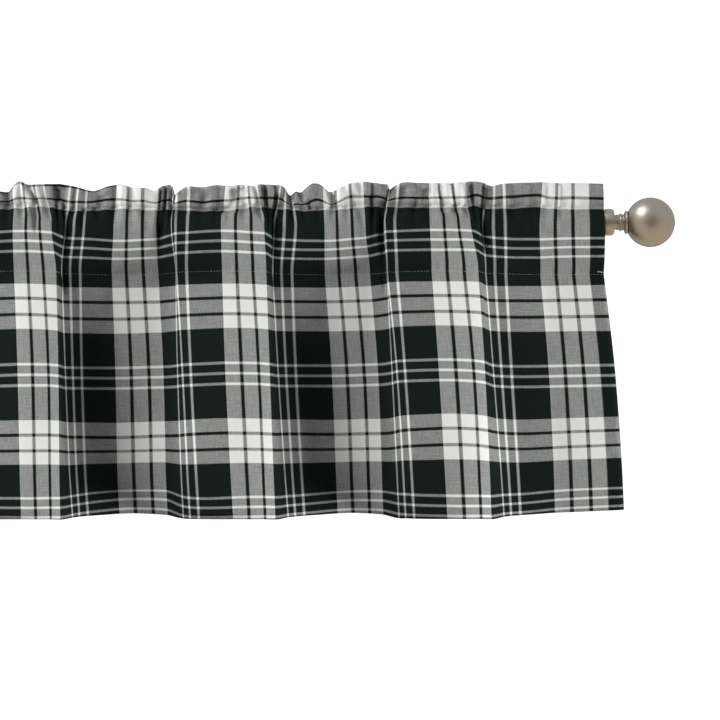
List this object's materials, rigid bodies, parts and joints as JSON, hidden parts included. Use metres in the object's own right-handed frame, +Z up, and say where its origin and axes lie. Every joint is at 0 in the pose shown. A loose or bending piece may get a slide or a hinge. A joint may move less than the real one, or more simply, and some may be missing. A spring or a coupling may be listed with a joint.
{
  "type": "window valance on a curtain rod",
  "caption": "Plaid rod-pocket window valance gathered into deep soft pleats under an upright ruffled heading, on a round curtain rod with ribbed necks and ball finials.",
  "frame": {"origin": "on the rod's axis at the middle of its length", "axes": "+X along the rod to the right as seen from the room, -Y out of the window into the room, +Z up"},
  "size_m": [1.2166, 0.106, 0.3476],
  "materials": {
    "plaid_cotton": "matt twill, off-white and black yarn-dyed plaid",
    "brushed_nickel": "satin, brushed round the rod's axis"
  },
  "bodies": {
    "root": {"valance": "plaid_cotton", "rod": "brushed_nickel", "end_cap_left": "brushed_nickel", "end_cap_right": "brushed_nickel", "finial_neck_left": "brushed_nickel", "finial_neck_right": "brushed_nickel", "finial_ball_left": "brushed_nickel", "finial_ball_right": "brushed_nickel"}
  },
  "joints": []
}
